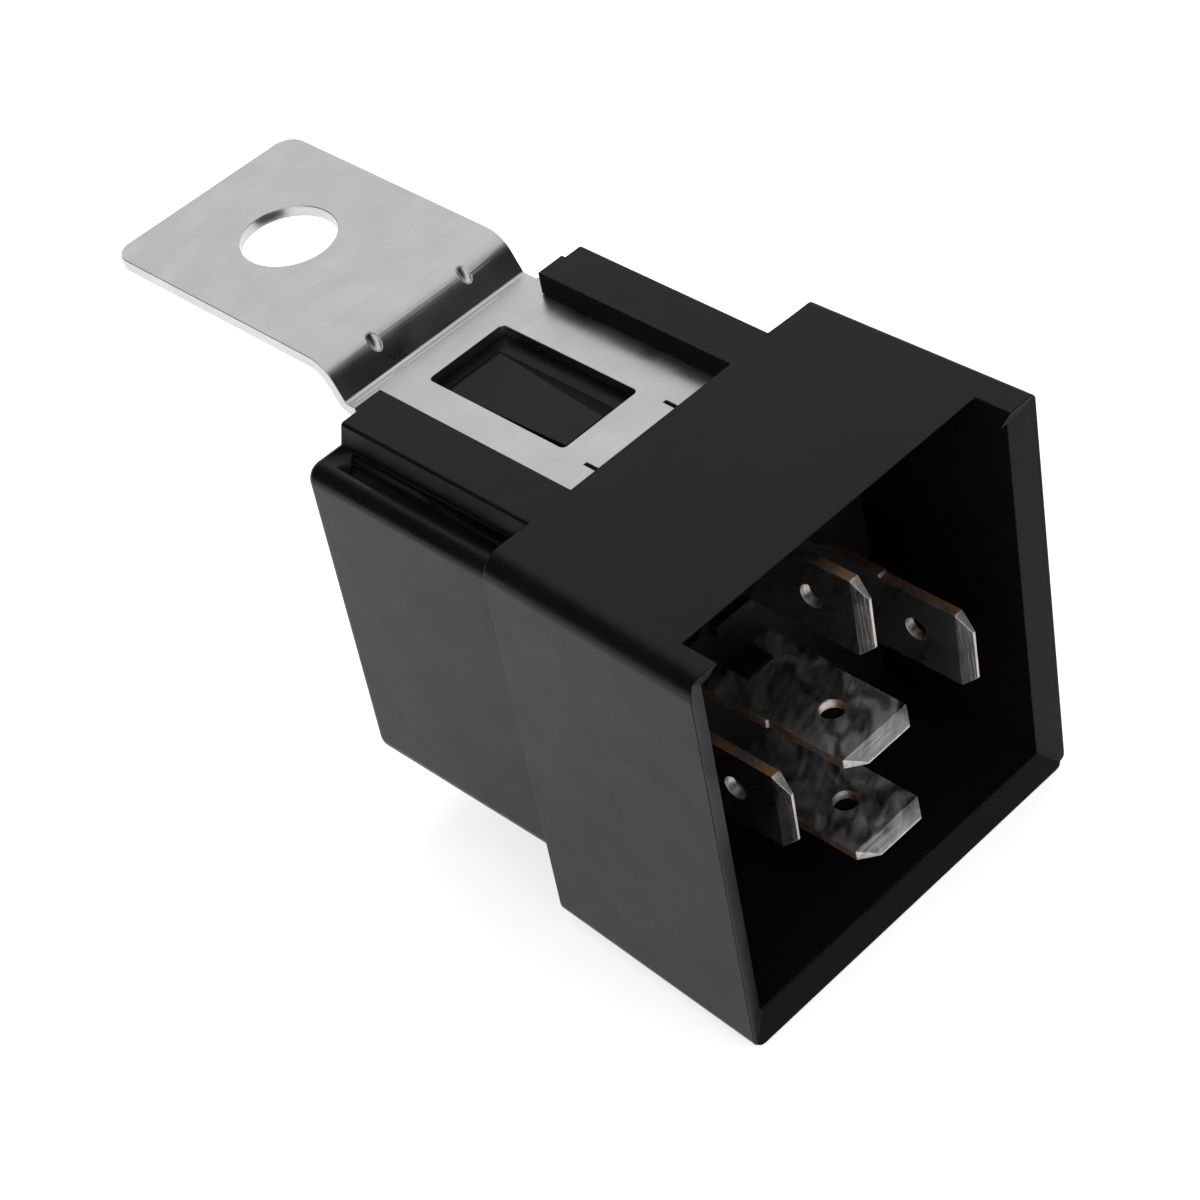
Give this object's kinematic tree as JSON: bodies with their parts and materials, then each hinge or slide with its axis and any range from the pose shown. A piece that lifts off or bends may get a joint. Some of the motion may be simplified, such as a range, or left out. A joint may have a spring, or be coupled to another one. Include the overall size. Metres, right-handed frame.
{
  "type": "automotive relay",
  "caption": "Sealed automotive changeover relay with flat blades inside an open rectangular skirt and a bent sheet-metal mounting ear latched to its side.",
  "frame": {"origin": "centre of the ear's fixing hole, on the ear's top face, which is the mounting face", "axes": "+X from the ear towards the open end of the skirt, along the blades; +Y across the relay; +Z out of the ear's mounting face, away from the housing"},
  "size_m": [0.0628, 0.0322, 0.0342],
  "materials": {
    "black_housing": "fine-textured black thermoplastic with a satin sheen, lightly scuffed",
    "black_header": "black moulded thermoplastic",
    "potting": "black cast resin with a dull skin",
    "plated_steel": "bright plated sheet with a soft rolled mottle",
    "tinned_blade": "bright tin over brass, smeared and scratched, copper-coloured at the sheared edges",
    "magnet_iron": "plated soft iron",
    "spool_plastic": "natural glass-filled thermoplastic",
    "copper_wire": "enamelled copper",
    "bronze_leaf": "rolled spring bronze",
    "silver_contact": "silver alloy",
    "spring_steel": "drawn spring wire",
    "resistor_coat": "enamel coat"
  },
  "bodies": {
    "base": {"cover": "black_housing", "bracket": "plated_steel", "header": "black_header", "sealant": "potting", "terminal_30": "tinned_blade", "terminal_85": "tinned_blade", "terminal_86": "tinned_blade", "terminal_87": "tinned_blade", "terminal_87a": "tinned_blade", "yoke": "magnet_iron", "core": "magnet_iron", "bobbin": "spool_plastic", "coil_winding": "copper_wire", "fixed_contact_87a": "silver_contact", "fixed_contact_87": "silver_contact", "return_spring": "spring_steel", "braid": "copper_wire", "suppression_resistor": "resistor_coat", "coil_end_85": "copper_wire", "coil_end_86": "copper_wire"},
    "rocker": {"armature": "magnet_iron", "contact_spring": "bronze_leaf", "moving_contact": "silver_contact", "leaf_rivets": "bronze_leaf"}
  },
  "joints": [
    {"name": "armature_rock", "type": "hinge", "parent": "base", "child": "rocker", "pos_m": [0.02393, 0, -0.0074], "axis": [0, -1, 0], "range_deg": [0, 2.8], "stiffness_Nm_per_rad": 0.01, "springref_deg": -17.19}
  ]
}
